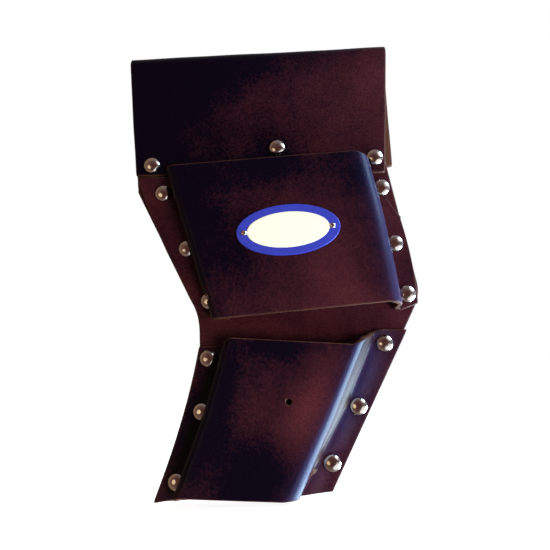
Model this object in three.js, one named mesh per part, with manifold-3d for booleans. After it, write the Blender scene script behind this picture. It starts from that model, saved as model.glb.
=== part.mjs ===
// Dog-leg tool holster: a cranked leather back panel, two open-ended leather channels riveted
// to its front, one above the other, and a folded leather belt loop riveted over its top.
// Millimetres, +Z up. The front faces -Y. The belt runs along X through the origin, which is
// the middle of the belt tunnel and of the panel's thickness.
import * as THREE from "three";
import { mergeVertices } from "three/addons/utils/BufferGeometryUtils.js";
import Module from "manifold-3d";

const wasm = await Module();
wasm.setup();

// Driving dimensions.
const LEATHER = 3; // thickness of every leather piece
const FIT_GAP = 0.3; // clearance between touching pieces
const PANEL_FRONT = -LEATHER / 2;
const PANEL_BACK = LEATHER / 2;
const FLANGE_BACK = PANEL_FRONT - FIT_GAP;
const FLANGE_FRONT = FLANGE_BACK - LEATHER;
const CHANNEL_DEPTH = 12.7; // clear depth inside both channels
const FACE_FRONT = FLANGE_FRONT - CHANNEL_DEPTH - LEATHER;

const LOOP_BACK = PANEL_BACK + FIT_GAP + LEATHER;
const DRILL_OVERRUN = 1; // how far a rivet hole's cutter passes the leather

const PANEL_TOP = -30; // top edge of the panel, the floor of the belt tunnel
// The panel's outline as [x, z], down the left and up the right. Its lower left edge is the
// lower flange's.
const PANEL = {
  topLeft: [-76, PANEL_TOP],
  shoulder: [-77, -59.5],
  crankStart: [-43, -131.8],
  crankControl: [-39.8, -138.6],
  crankEnd: [-39.8, -148],
  toeRight: [34.2, -239.4],
  heelStart: [88.2, -137.2],
  heelControl: [92, -129.6],
  heelEnd: [90.4, -122],
  hip: [78, -53.5],
  topRight: [74.4, PANEL_TOP],
};

const LOOP_HALF_WIDTH = 81;
const LOOP_TOP = 29.5;
const TUNNEL_GAP = 7; // clear gap for a belt
const TUNNEL_FLARE = 8; // height over which the two legs part above the panel
const LOOP_BOTTOM_FRONT = { left: [-77.4, -49.9], right: [75.6, -54.8] };
const LOOP_BOTTOM_REAR = { left: [-77.9, -57], right: [81.4, -49] };

const LEFT_BEND_RADIUS = 5; // where a channel's left wall turns into its face
const RIGHT_BEND_RADIUS = 8.5;
const FLANGE_BEND_RADIUS = 1.5;
const BEND_STEPS = 5;

const RIVET_HEAD = { radius: 5, height: 2.9 };
const RIVET_SHANK_RADIUS = 1.5;
const RIVET_TAIL = { radius: 2.6, height: 0.9 };
const HEAD_RIM = 0.2; // share of a head's height that is its straight rim
const TAIL_TAPER = 0.7; // radius of a tail's end over the radius at its seat
const RIVET_HOLE_RADIUS = RIVET_SHANK_RADIUS + FIT_GAP;
const BURR_RADIUS = 4.4;
const BURR_THICKNESS = 0.8;
const ROUND_STEPS = 16;

const LABEL = { x: 15.5, z: -92.4, length: 60, height: 30, thickness: 1.2, tilt: 0.045 };
const LABEL_PIN_SPACING = 51;
const LABEL_PIN_RADIUS = 0.8;
const LABEL_PIN_HEAD = { radius: 1.6, height: 0.9 };
const LABEL_PIN_TAIL = { radius: 1.5, height: 0.5 };
const PUNCHED_HOLE = { x: 12.2, z: -189.3, radius: 1.7 };

// Rivet centres as [x, z].
const BELT_RIVETS = { left: [-67.2, -43.8], middle: [10.5, -36.3], right: [69.8, -45.3] };
const UPPER_RIVETS = {
  left: [[-60.2, -62.2], [-46, -97.5], [-33, -129.6]],
  right: [[72.5, -64.8], [78.2, -99.6], [83.3, -130.1]],
};
const LOWER_RIVETS = {
  left: [[-34, -163.5], [-38.3, -193.6], [-53, -232]],
  right: [[68.4, -158.3], [51.4, -193.4], [34.9, -224.1]],
};

// The long edges of each channel, left to right: the flange's outer edge, the bend at the
// flange, the bend at the face, and the same again on the right. Each is [x, z] at the top,
// the middle and the bottom.
const UPPER_CHANNEL = {
  flangeLeft: [[-77, -50.9], [-61.6, -92.6], [-40.8, -141]],
  baseLeft: [[-56.7, -51.4], [-38.6, -97], [-19.4, -141.6]],
  faceLeft: [[-56, -49.6], [-46.7, -96.7], [-39.5, -143]],
  faceRight: [[67, -45.5], [78, -90.9], [81.3, -135.3]],
  baseRight: [[63.5, -55.6], [70.9, -97.2], [77.9, -139.4]],
  flangeRight: [[78.6, -56], [85.4, -96.6], [91.6, -138]],
};
const LOWER_CHANNEL = {
  flangeLeft: [[-39.8, -156.2], [-49.9, -196.5], [-66.9, -243.2]],
  baseLeft: [[-25.2, -156.4], [-30.8, -194], [-48.5, -240.6]],
  faceLeft: [[-22, -152.5], [-40.8, -194.6], [-58, -238.2]],
  faceRight: [[54, -159.3], [33.4, -201.4], [13.8, -242.5]],
  baseRight: [[64.5, -150.4], [43.9, -196], [16.8, -241.4]],
  flangeRight: [[82.5, -150.4], [58.6, -195], [34.6, -239.8]],
};

// A closed sheet between an outer and an inner grid of points, both rows by columns.
function slab(outer, inner) {
  const rows = outer.length;
  const columns = outer[0].length;
  const points = [...outer.flat(), ...inner.flat()];
  const at = (side, row, column) => (side * rows + row) * columns + column;
  const index = [];
  const quad = (a, b, c, d) => index.push(a, b, c, b, d, c);
  for (let r = 0; r < rows - 1; r++) {
    for (let c = 0; c < columns - 1; c++) {
      quad(at(0, r, c), at(0, r + 1, c), at(0, r, c + 1), at(0, r + 1, c + 1));
      quad(at(1, r, c), at(1, r, c + 1), at(1, r + 1, c), at(1, r + 1, c + 1));
    }
    const last = columns - 1;
    quad(at(1, r, 0), at(1, r + 1, 0), at(0, r, 0), at(0, r + 1, 0));
    quad(at(0, r, last), at(0, r + 1, last), at(1, r, last), at(1, r + 1, last));
  }
  for (let c = 0; c < columns - 1; c++) {
    const last = rows - 1;
    quad(at(1, 0, c), at(0, 0, c), at(1, 0, c + 1), at(0, 0, c + 1));
    quad(at(0, last, c), at(1, last, c), at(0, last, c + 1), at(1, last, c + 1));
  }
  return new THREE.BufferGeometry().setFromPoints(points).setIndex(index);
}

// A manifold-3d solid of a closed geometry.
function solid(geometry) {
  const plain = geometry.clone();
  plain.deleteAttribute("normal");
  plain.deleteAttribute("uv");
  const merged = mergeVertices(plain, 1e-4);
  return new wasm.Manifold(new wasm.Mesh({
    numProp: 3,
    vertProperties: new Float32Array(merged.attributes.position.array),
    triVerts: new Uint32Array(merged.index.array),
  }));
}

function fromSolid(body) {
  const made = body.getMesh();
  const position = new THREE.BufferAttribute(new Float32Array(made.vertProperties), 3);
  const geometry = new THREE.BufferGeometry().setAttribute("position", position);
  geometry.setIndex(new THREE.BufferAttribute(new Uint32Array(made.triVerts), 1));
  geometry.computeVertexNormals();
  return geometry;
}

// The geometry with round holes along Y at each [x, z].
function drilled(geometry, centres, radius, from, to) {
  const tool = new THREE.CylinderGeometry(radius, radius, to - from, ROUND_STEPS);
  let body = solid(geometry);
  for (const [x, z] of centres) {
    const cutter = tool.clone().translate(x, (from + to) / 2, z);
    body = body.subtract(solid(cutter));
  }
  return fromSolid(body);
}

function rivetHoles(geometry, centres) {
  const [from, to] = [FLANGE_FRONT - DRILL_OVERRUN, LOOP_BACK + DRILL_OVERRUN];
  return drilled(geometry, centres, RIVET_HOLE_RADIUS, from, to);
}

// Holes through the face of a channel only.
function faceHoles(geometry, centres, radius) {
  const [from, to] = [FACE_FRONT - LEATHER, FACE_FRONT + LEATHER + DRILL_OVERRUN];
  return drilled(geometry, centres, radius, from, to);
}

// The control point of the quadratic curve that passes through the middle point.
function controlOf([top, middle, bottom]) {
  return [0, 1].map((axis) => 2 * middle[axis] - (top[axis] + bottom[axis]) / 2);
}

// Back panel: the cranked outline, cut from flat leather. It runs down the left side, where
// the lower flange's edge follows it, and up the right.
function panelOutline() {
  const [waist, , toe] = LOWER_CHANNEL.flangeLeft;
  const shape = new THREE.Shape();
  shape.moveTo(...PANEL.topLeft);
  shape.lineTo(...PANEL.shoulder);
  shape.lineTo(...PANEL.crankStart);
  shape.quadraticCurveTo(...PANEL.crankControl, ...PANEL.crankEnd);
  shape.lineTo(...waist);
  shape.quadraticCurveTo(...controlOf(LOWER_CHANNEL.flangeLeft), ...toe);
  shape.lineTo(...PANEL.toeRight);
  shape.lineTo(...PANEL.heelStart);
  shape.quadraticCurveTo(...PANEL.heelControl, ...PANEL.heelEnd);
  shape.lineTo(...PANEL.hip);
  shape.lineTo(...PANEL.topRight);
  shape.closePath();
  return shape;
}

function outlinePrism(front, back) {
  const settings = { depth: back - front, bevelEnabled: false, curveSegments: 10 };
  const prism = new THREE.ExtrudeGeometry(panelOutline(), settings);
  return prism.rotateX(Math.PI / 2).translate(0, back, 0);
}

function backPanel() {
  const holes = [
    ...Object.values(BELT_RIVETS),
    ...Object.values(UPPER_RIVETS).flat(),
    ...Object.values(LOWER_RIVETS).flat(),
  ];
  return rivetHoles(outlinePrism(PANEL_FRONT, PANEL_BACK), holes);
}

// Belt loop: one strip that runs up the rear, over the belt and down the front.
function beltLoop() {
  const halfGap = TUNNEL_GAP / 2;
  const foldCentre = LOOP_TOP - halfGap - LEATHER;
  const pressed = LEATHER / 2 + FIT_GAP;
  const foldSteps = 10;
  const flareSteps = 4;
  const columns = 5;
  const bow = (z) => {
    const rise = THREE.MathUtils.smoothstep(z, PANEL_TOP, PANEL_TOP + TUNNEL_FLARE);
    return THREE.MathUtils.lerp(pressed, halfGap, rise);
  };
  const outer = [];
  const inner = [];
  const addRow = (place) => {
    const across = [...Array(columns).keys()].map((c) => c / (columns - 1));
    outer.push(across.map((u) => place(u, LEATHER)));
    inner.push(across.map((u) => place(u, 0)));
  };
  // A point of a leg's side edge, at a height or at the leg's bottom corner.
  const edgePoint = (top, [x, z], height) => {
    const drop = height === null ? 1 : (foldCentre - height) / (foldCentre - z);
    return new THREE.Vector2(top, foldCentre).lerp(new THREE.Vector2(x, z), drop);
  };
  const legRow = (bottom, side, height) => addRow((u, out) => {
    const left = edgePoint(-LOOP_HALF_WIDTH, bottom.left, height);
    const right = edgePoint(LOOP_HALF_WIDTH, bottom.right, height);
    const spot = left.lerp(right, u);
    return new THREE.Vector3(spot.x, side * (bow(spot.y) + out), spot.y);
  });
  // Heights of a leg's rows, from the fold down; null is the sloping bottom edge.
  const heights = [foldCentre];
  for (let i = flareSteps; i >= 0; i--) {
    heights.push(PANEL_TOP + (TUNNEL_FLARE * i) / flareSteps);
  }
  heights.push(null);
  heights.toReversed().forEach((height) => legRow(LOOP_BOTTOM_REAR, 1, height));
  for (let i = 1; i < foldSteps; i++) {
    const angle = (Math.PI * i) / foldSteps;
    addRow((u, out) => new THREE.Vector3(
      THREE.MathUtils.lerp(-LOOP_HALF_WIDTH, LOOP_HALF_WIDTH, u),
      (halfGap + out) * Math.cos(angle),
      foldCentre + (halfGap + out) * Math.sin(angle),
    ));
  }
  heights.forEach((height) => legRow(LOOP_BOTTOM_FRONT, -1, height));
  return rivetHoles(slab(outer, inner), Object.values(BELT_RIVETS));
}

// One cross-section of a channel. The corners run left to right as Vector3s, and each inner
// corner is rounded about one centre for both sides of the leather.
function channelSection(corners, radii) {
  const outer = [];
  const inner = [];
  const direction = (a, b) => new THREE.Vector2(b.x - a.x, b.y - a.y).normalize();
  const inward = (d) => new THREE.Vector2(-d.y, d.x);
  const place = (list, flat, offset, z) =>
    list.push(new THREE.Vector3(flat.x + offset.x, flat.y + offset.y, z));
  const end = (corner, d) => {
    place(outer, corner, new THREE.Vector2(), corner.z);
    place(inner, corner, inward(d).multiplyScalar(LEATHER), corner.z);
  };
  end(corners[0], direction(corners[0], corners[1]));
  for (let i = 1; i < corners.length - 1; i++) {
    const [before, here, after] = [corners[i - 1], corners[i], corners[i + 1]];
    const came = direction(before, here);
    const goes = direction(here, after);
    const turn = Math.atan2(came.cross(goes), came.dot(goes));
    const side = Math.sign(turn); // +1 where the inside of the bend is the inner face
    const mitre = inward(came).add(inward(goes)).divideScalar(1 + came.dot(goes));
    const centre = new THREE.Vector2(here.x, here.y).addScaledVector(mitre, side * radii[i]);
    const tangent = radii[i] * Math.tan(Math.abs(turn) / 2);
    const flatLength = (a, b) => Math.hypot(b.x - a.x, b.y - a.y);
    const zIn = here.z - (tangent * (here.z - before.z)) / flatLength(before, here);
    const zOut = here.z + (tangent * (after.z - here.z)) / flatLength(here, after);
    for (let k = 0; k <= BEND_STEPS; k++) {
      const share = k / BEND_STEPS;
      const z = THREE.MathUtils.lerp(zIn, zOut, share);
      const normal = inward(came).rotateAround(new THREE.Vector2(), turn * share);
      place(outer, centre, normal.clone().multiplyScalar(-side * radii[i]), z);
      place(inner, centre, normal.clone().multiplyScalar(-side * radii[i] + LEATHER), z);
    }
  }
  const last = corners.length - 1;
  end(corners[last], direction(corners[last - 1], corners[last]));
  return { outer, inner };
}

// A channel lofted down its six long edges.
function channel(edges) {
  const rows = 7;
  const depths = {
    flangeLeft: FLANGE_FRONT,
    baseLeft: FLANGE_FRONT,
    faceLeft: FACE_FRONT,
    faceRight: FACE_FRONT,
    baseRight: FLANGE_FRONT,
    flangeRight: FLANGE_FRONT,
  };
  const radii = [
    0, FLANGE_BEND_RADIUS, LEFT_BEND_RADIUS, RIGHT_BEND_RADIUS, FLANGE_BEND_RADIUS, 0,
  ];
  const curves = Object.entries(edges).map(([name, points]) => {
    const at = ([x, z]) => new THREE.Vector3(x, depths[name], z);
    return new THREE.QuadraticBezierCurve3(at(points[0]), at(controlOf(points)), at(points[2]));
  });
  const sections = [];
  for (let r = 0; r < rows; r++) {
    const corners = curves.map((curve) => curve.getPoint(r / (rows - 1)));
    sections.push(channelSection(corners, radii));
  }
  return slab(sections.map((s) => s.outer), sections.map((s) => s.inner));
}

function upperPocket() {
  const trimmed = solid(channel(UPPER_CHANNEL)).intersect(
    solid(outlinePrism(FACE_FRONT - LEATHER, PANEL_BACK)),
  );
  const riveted = rivetHoles(fromSolid(trimmed), Object.values(UPPER_RIVETS).flat());
  return faceHoles(riveted, labelPins(), LABEL_PIN_RADIUS + FIT_GAP);
}

function lowerPocket() {
  const riveted = rivetHoles(channel(LOWER_CHANNEL), Object.values(LOWER_RIVETS).flat());
  return faceHoles(riveted, [[PUNCHED_HOLE.x, PUNCHED_HOLE.z]], PUNCHED_HOLE.radius);
}

// Oval label plate and its two pins, on the face of the upper channel.
function labelPins() {
  const reach = LABEL_PIN_SPACING / 2;
  return [-1, 1].map((side) => [
    LABEL.x + side * reach * Math.cos(LABEL.tilt),
    LABEL.z + side * reach * Math.sin(LABEL.tilt),
  ]);
}

function labelPlate() {
  const shape = new THREE.Shape();
  shape.absellipse(0, 0, LABEL.length / 2, LABEL.height / 2, 0, 2 * Math.PI, false, 0);
  const settings = { depth: LABEL.thickness, bevelEnabled: false, curveSegments: 40 };
  const plate = new THREE.ExtrudeGeometry(shape, settings);
  plate.rotateZ(LABEL.tilt).rotateX(Math.PI / 2);
  plate.translate(LABEL.x, FACE_FRONT - FIT_GAP, LABEL.z);
  return faceHoles(plate, labelPins(), LABEL_PIN_RADIUS + FIT_GAP);
}

// A headed pin or rivet: a domed head in front, a shank, and a clinched tail behind.
function rivetProfile(head, shank, tail, front, back) {
  const profile = [new THREE.Vector2(0, front - head.height)];
  const domeSteps = 4;
  const rim = head.height * HEAD_RIM;
  for (let i = 1; i <= domeSteps; i++) {
    const angle = (Math.PI / 2) * (i / domeSteps);
    const rise = (head.height - rim) * Math.cos(angle);
    profile.push(new THREE.Vector2(head.radius * Math.sin(angle), front - rim - rise));
  }
  profile.push(new THREE.Vector2(head.radius, front));
  profile.push(new THREE.Vector2(shank, front));
  profile.push(new THREE.Vector2(shank, back));
  profile.push(new THREE.Vector2(tail.radius, back));
  profile.push(new THREE.Vector2(tail.radius * TAIL_TAPER, back + tail.height));
  profile.push(new THREE.Vector2(0, back + tail.height));
  return profile;
}

function rivet(backOfLeather) {
  const tailSeat = backOfLeather + BURR_THICKNESS + 2 * FIT_GAP;
  const front = FLANGE_FRONT - FIT_GAP;
  const profile = rivetProfile(RIVET_HEAD, RIVET_SHANK_RADIUS, RIVET_TAIL, front, tailSeat);
  return new THREE.LatheGeometry(profile, ROUND_STEPS);
}

function burr(backOfLeather) {
  const near = backOfLeather + FIT_GAP;
  const far = near + BURR_THICKNESS;
  const profile = [
    new THREE.Vector2(RIVET_HOLE_RADIUS, near),
    new THREE.Vector2(BURR_RADIUS, near),
    new THREE.Vector2(BURR_RADIUS, far),
    new THREE.Vector2(RIVET_HOLE_RADIUS, far),
    new THREE.Vector2(RIVET_HOLE_RADIUS, near),
  ];
  return new THREE.LatheGeometry(profile, ROUND_STEPS);
}

function labelPin() {
  const front = FACE_FRONT - 2 * FIT_GAP - LABEL.thickness;
  const back = FACE_FRONT + LEATHER + FIT_GAP;
  const profile = rivetProfile(LABEL_PIN_HEAD, LABEL_PIN_RADIUS, LABEL_PIN_TAIL, front, back);
  return new THREE.LatheGeometry(profile, ROUND_STEPS);
}

// Materials.
const finish = (color, roughness, metalness) =>
  new THREE.MeshStandardMaterial({ color, roughness, metalness });
const darkLeather = finish(0x2b1713, 0.5, 0);
const nickel = finish(0xd8d0c4, 0.25, 1);
const labelBlue = finish(0x2f3fa6, 0.35, 0);

const holster = new THREE.Group();

function add(name, geometry, material, parent = holster) {
  const mesh = new THREE.Mesh(geometry, material.clone());
  mesh.name = name;
  parent.add(mesh);
  return mesh;
}

add("back_panel", backPanel(), darkLeather);
add("belt_loop", beltLoop(), darkLeather);
add("upper_pocket", upperPocket(), darkLeather);
add("lower_pocket", lowerPocket(), darkLeather);
add("label_plate", labelPlate(), labelBlue);

["left", "right"].forEach((side, i) => {
  const [x, z] = labelPins()[i];
  add("label_pin_" + side, labelPin(), nickel).position.set(x, 0, z);
});

function addRivet(name, [x, z], backOfLeather) {
  const place = new THREE.Group();
  place.position.set(x, 0, z);
  holster.add(place);
  add(name, rivet(backOfLeather), nickel, place);
  add(name + "_burr", burr(backOfLeather), nickel, place);
}

for (const [side, centre] of Object.entries(BELT_RIVETS)) {
  addRivet("belt_rivet_" + side, centre, LOOP_BACK);
}
for (const [pocket, sides] of Object.entries({ upper: UPPER_RIVETS, lower: LOWER_RIVETS })) {
  for (const [side, centres] of Object.entries(sides)) {
    centres.forEach((centre, i) => {
      addRivet(pocket + "_rivet_" + side + "_" + (i + 1), centre, PANEL_BACK);
    });
  }
}

export default holster;
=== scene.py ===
"""Dog-leg tool holster: the fine leather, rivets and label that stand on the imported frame."""

import math

import bpy
import numpy as np
from bpy.props import FloatProperty, FloatVectorProperty, IntProperty, PointerProperty
from mathutils import Matrix, Vector, noise


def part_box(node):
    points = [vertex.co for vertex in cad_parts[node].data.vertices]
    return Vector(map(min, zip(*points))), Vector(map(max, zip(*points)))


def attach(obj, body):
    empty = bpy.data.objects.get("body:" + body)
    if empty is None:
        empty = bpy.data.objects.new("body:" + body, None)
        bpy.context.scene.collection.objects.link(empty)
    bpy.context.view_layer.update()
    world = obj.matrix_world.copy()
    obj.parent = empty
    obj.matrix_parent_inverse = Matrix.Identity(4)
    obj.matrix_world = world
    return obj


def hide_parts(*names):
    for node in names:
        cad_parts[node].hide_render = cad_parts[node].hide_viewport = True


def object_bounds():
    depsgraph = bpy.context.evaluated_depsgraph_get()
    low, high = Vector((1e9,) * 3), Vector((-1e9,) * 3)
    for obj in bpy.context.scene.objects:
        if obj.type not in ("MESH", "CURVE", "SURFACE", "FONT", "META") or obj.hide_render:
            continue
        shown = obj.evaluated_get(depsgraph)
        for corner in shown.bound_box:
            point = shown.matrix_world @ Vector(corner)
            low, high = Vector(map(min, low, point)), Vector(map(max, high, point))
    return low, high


bl_info = {
    "name": "Dog-leg Tool Holster",
    "version": (1, 0, 0),
    "blender": (4, 5, 0),
    "location": "View3D > Sidebar > Holster",
    "description": "Builds a riveted leather tool holster piece by piece around its frame",
    "category": "Object",
}

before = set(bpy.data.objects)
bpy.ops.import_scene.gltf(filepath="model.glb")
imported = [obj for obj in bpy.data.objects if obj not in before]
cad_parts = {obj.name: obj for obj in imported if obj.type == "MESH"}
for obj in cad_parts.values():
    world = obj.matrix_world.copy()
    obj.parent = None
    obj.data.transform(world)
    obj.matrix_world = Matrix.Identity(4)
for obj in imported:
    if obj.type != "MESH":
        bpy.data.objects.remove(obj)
CAD_LOW, CAD_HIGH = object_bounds()

MM = 0.001
ACROSS, ALONG = 0, 2  # the axes along the belt and down the holster
PLANE_TOLERANCE = 0.02 * MM  # how far a point of a flat face may lie off its plane
EDGE_TOLERANCE = 1.0 * MM  # how far a corner may lie off its edge's fitted curve
SLANT = 10 * MM  # most that the cut ends of a channel slope over its width
BEND_STEPS = 14  # facets round each bend of a channel
WALL_STEPS = 6  # facets down each wall of a channel

PANEL_LOW, PANEL_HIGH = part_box("back_panel")
LEATHER = PANEL_HIGH.y - PANEL_LOW.y
POCKET_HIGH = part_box("upper_pocket")[1]
FIT_GAP = PANEL_LOW.y - POCKET_HIGH.y

# Powers of cosine and sine that square off a cut edge that has been rubbed down.
EDGE_THROUGH, EDGE_OUT = 0.7, 0.6
PANEL_WAVES, UPPER_WAVES = 0.3, 0.5  # how wavy these pieces are, as shares of the others
HOLE_WEAR = 0.8  # how raw the punched hole's rim is


# Sizes and colours that a user would change.

def length_setting(name, description, default):
    """A length, in metres."""
    return FloatProperty(name=name, description=description, default=default,
                         subtype="DISTANCE", unit="LENGTH")


def angle_setting(name, description, degrees):
    """An angle, given in degrees and kept in radians."""
    return FloatProperty(name=name, description=description, default=math.radians(degrees),
                         subtype="ANGLE", unit="ROTATION")


def steps_setting(name, description, default, fewest):
    """A number of facets."""
    return IntProperty(name=name, description=description, default=default, min=fewest)


def colour_setting(name, description, default):
    """A colour, as linear red, green and blue."""
    return FloatVectorProperty(name=name, description=description, default=default,
                               subtype="COLOR", size=3, min=0, max=1)


class LeatherSettings(bpy.types.PropertyGroup):
    """How the leather is cut, bent and finished"""

    spacing: length_setting(
        "Mesh Spacing", "Distance between neighbouring points of a leather surface", 1.7 * MM)
    edge_round: length_setting(
        "Edge Rounding", "How far the burnished cut edges bulge past the flat leather", 0.9 * MM)
    edge_steps: steps_setting(
        "Edge Steps", "Facets across the thickness of a cut edge", 8, fewest=2)
    left_bend: length_setting(
        "Left Bend", "Outer radius where a channel's left wall turns into its face", 5 * MM)
    right_bend: length_setting(
        "Right Bend", "Outer radius where a channel's right wall turns into its face", 8.5 * MM)
    flange_bend: length_setting(
        "Flange Bend", "Radius where a channel's wall turns out into its flange", 1.5 * MM)
    slack_bend: length_setting(
        "Slack Bend", "The same radius where the leather was pressed down loosely", 5 * MM)
    slack_rise: length_setting(
        "Slack Rise", "How far the loosely pressed flange stands off the panel at its bend",
        1.6 * MM)
    slack_reach: length_setting(
        "Slack Reach", "How far from its bend the loosely pressed flange stands off", 7 * MM)
    tunnel_flare: length_setting(
        "Tunnel Flare", "Height over which the belt loop's legs part round the panel's top",
        26 * MM)
    wave_depth: length_setting(
        "Wave Depth", "Height of the slow waves in the hand-bent leather", 0.45 * MM)
    wave_length: length_setting(
        "Wave Length", "Distance from one slow wave to the next", 34 * MM)
    dimple_depth: length_setting(
        "Dimple Depth", "How far a rivet pulls the leather in", 0.35 * MM)
    dimple_radius: length_setting(
        "Dimple Radius", "How far from a rivet its dimple reaches", 6.5 * MM)
    # The painted shade darkens the dye towards this dark colour, and its negative spots lighten it
    # towards the warm one.
    dark: colour_setting(
        "Dark Dye", "Leather colour where the dye took most", (0.0015, 0.0004, 0.0045))
    warm: colour_setting(
        "Warm Dye", "Leather colour where the dye is thin", (0.080, 0.018, 0.024))
    raw: colour_setting(
        "Raw Leather", "Colour of undyed leather where an edge is worn", (0.16, 0.08, 0.045))
    # Painted sheen: this blue stands in for the cool light's reflection on the bends and flanges.
    sheen_colour: colour_setting(
        "Blue Dye", "Leather colour where the blue undercoat shows", (0.010, 0.011, 0.052))
    # Painted highlight: this grey stands in for light reflected off a channel's wall and beside its
    # rivets.
    highlight_colour: colour_setting(
        "Wax Bloom", "Colour of dry wax where the leather was creased", (0.12, 0.115, 0.11))
    flesh: colour_setting(
        "Flesh Side", "Colour of the rough inner side", (0.035, 0.014, 0.010))


class HardwareSettings(bpy.types.PropertyGroup):
    """Rivets, burrs and label"""

    cap_height: length_setting(
        "Cap Height", "Height of a rivet's domed cap over the leather", 2.9 * MM)
    shank_radius: length_setting("Shank Radius", "Radius of a rivet's shank", 1.5 * MM)
    tail_radius: length_setting("Tail Radius", "Radius of a rivet's peened tail", 2.6 * MM)
    round_steps: steps_setting("Round Steps", "Facets round a turned piece", 48, fewest=8)
    nickel: colour_setting("Nickel", "Colour of the plated metal", (0.80, 0.76, 0.72))
    label_border: length_setting(
        "Label Border", "Width of the label's painted border at its ends", 6 * MM)
    blue: colour_setting("Label Blue", "Paint of the label's border", (0.03, 0.045, 0.42))
    white: colour_setting("Label White", "Paint of the label's blank field", (0.74, 0.81, 0.70))


class StageSettings(bpy.types.PropertyGroup):
    """Floor, light and camera"""

    aim: FloatVectorProperty(
        name="Aim",
        description="Point that the camera looks at, from the middle of the holster",
        default=(1.4 * MM, 6.5 * MM, -8.2 * MM),
        subtype="XYZ",
        unit="LENGTH",
        size=3,
    )
    distance: length_setting(
        "Distance", "Distance from the camera to the point it looks at", 366 * MM)
    azimuth: angle_setting(
        "Azimuth", "Angle of the camera round the holster from straight in front", 2)
    elevation: angle_setting("Elevation", "Angle of the camera above the level", -10)
    roll: angle_setting("Roll", "How far the camera is turned clockwise about its own axis", 2)
    lens: FloatProperty(
        name="Lens",
        description="Focal length in millimetres on a 36 mm sensor",
        default=39.93,
    )
    floor_drop: length_setting(
        "Floor Drop", "How far the floor lies below the holster's toe", 1 * MM)
    window: colour_setting(
        "Window Light", "Colour of the cool light from the right", (0.46, 0.70, 0.95))
    lamp: colour_setting(
        "Lamp Light", "Colour of the warm light from the front", (1.0, 0.80, 0.62))


# Measuring the frame.

def corners_of(node):
    """Every corner of a CAD node, as rows of x, y and z."""
    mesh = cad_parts[node].data
    places = np.zeros(len(mesh.vertices) * 3)
    mesh.vertices.foreach_get("co", places)
    return places.reshape(-1, 3)


def section(node, height):
    """The points, as rows of x and y, where a CAD node's edges cross a height."""
    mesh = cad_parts[node].data
    ends = np.zeros(len(mesh.edges) * 2, int)
    mesh.edges.foreach_get("vertices", ends)
    places = corners_of(node)
    a, b = places[ends[0::2]], places[ends[1::2]]
    crossing = (a[:, ALONG] - height) * (b[:, ALONG] - height) < 0
    a, b = a[crossing], b[crossing]
    share = (height - a[:, ALONG]) / (b[:, ALONG] - a[:, ALONG])
    return (a + (b - a) * share[:, None])[:, :2]


class Edge:
    """A long edge of a leather piece: how far across it lies at each height, and its ends."""

    def __init__(self, heights, across, degree=2):
        self.fit = np.polyfit(heights, across, degree)
        self.heights, self.samples = heights, across
        self.top = self.bottom = 0.0
        self.follow = None

    def across(self, height):
        """The edge's x at a height, held to the outline it follows where it has one."""
        fitted = np.polyval(self.fit, height)
        if self.follow is None:
            return fitted
        return np.maximum(fitted, self.follow.across(height))

    def find_ends(self, corners):
        """Sets the edge's ends to the highest and lowest of the corners that lie on it."""
        off = np.abs(corners[:, ACROSS] - self.across(corners[:, ALONG]))
        own = corners[off < EDGE_TOLERANCE][:, ALONG]
        self.top, self.bottom = own.max(), own.min()
        return self

    def at(self, share):
        """The edge's x and z at a share of the way down it."""
        height = self.top + (self.bottom - self.top) * share
        return self.across(height), height


class Outline(Edge):
    """An edge that isn't one smooth curve, read off at close heights."""

    def across(self, height):
        slope = np.diff(self.samples) / np.diff(self.heights)
        below = np.minimum(height - self.heights[0], 0) * slope[0]
        above = np.maximum(height - self.heights[-1], 0) * slope[-1]
        return np.interp(height, self.heights, self.samples) + below + above


def panel_edges():
    """The back panel's left and right edges."""
    margin = SLANT / 2
    heights = np.arange(PANEL_LOW.z + margin, PANEL_HIGH.z, MM)
    across = [section("back_panel", height)[:, ACROSS] for height in heights]
    corners = corners_of("back_panel")
    return [
        Outline(heights, np.array([extreme(row) for row in across])).find_ends(corners)
        for extreme in (np.min, np.max)
    ]


def channel_edges(node):
    """A channel's long edges, left to right: flange edge, flange bend, face bend and back."""
    low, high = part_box(node)
    heights = np.linspace(low.z + SLANT, high.z - SLANT, 9)
    rows = []
    for height in heights:
        points = section(node, height)
        face = points[points[:, 1] < low.y + PLANE_TOLERANCE][:, ACROSS]
        flange = points[points[:, 1] > high.y - PLANE_TOLERANCE][:, ACROSS]
        middle = (face.min() + face.max()) / 2
        left, right = flange[flange < middle], flange[flange > middle]
        rows.append([left.min(), left.max(), face.min(), face.max(), right.min(), right.max()])
    edges = [Edge(heights, across) for across in np.array(rows).T]
    edges[0].follow = panel_edges()[0]
    corners = corners_of(node)
    on_face = corners[corners[:, 1] < low.y + PLANE_TOLERANCE]
    on_flange = corners[corners[:, 1] > high.y - PLANE_TOLERANCE]
    for i, edge in enumerate(edges):
        edge.find_ends(on_face if i in (2, 3) else on_flange)
    return edges


def leg_edges(side):
    """The left and right edges of the belt loop's front (-1) or rear (+1) leg."""
    low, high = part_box("belt_loop")
    heights = np.linspace(PANEL_HIGH.z - SLANT, high.z - SLANT, 5)
    rows = []
    for height in heights:
        points = section("belt_loop", height)
        own = points[points[:, 1] * side > 0][:, ACROSS]
        rows.append([own.min(), own.max()])
    corners = corners_of("belt_loop")
    own = corners[corners[:, 1] * side > 0]
    return [Edge(heights, across, 1).find_ends(own) for across in np.array(rows).T]


def face_hole(node):
    """The middle, as x and z, and the radius of the round hole in a channel's face."""
    corners = corners_of(node)
    x, y, z = corners.T
    left, right = channel_edges(node)[2:4]
    inside = (x > left.across(z) + SLANT / 2) & (x < right.across(z) - SLANT / 2)
    rim = corners[inside & (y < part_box(node)[0].y + PLANE_TOLERANCE)]
    low, high = rim.min(axis=0), rim.max(axis=0)
    middle = (low + high) / 2
    return (middle[ACROSS], middle[ALONG]), (high - low)[ACROSS] / 2


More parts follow.
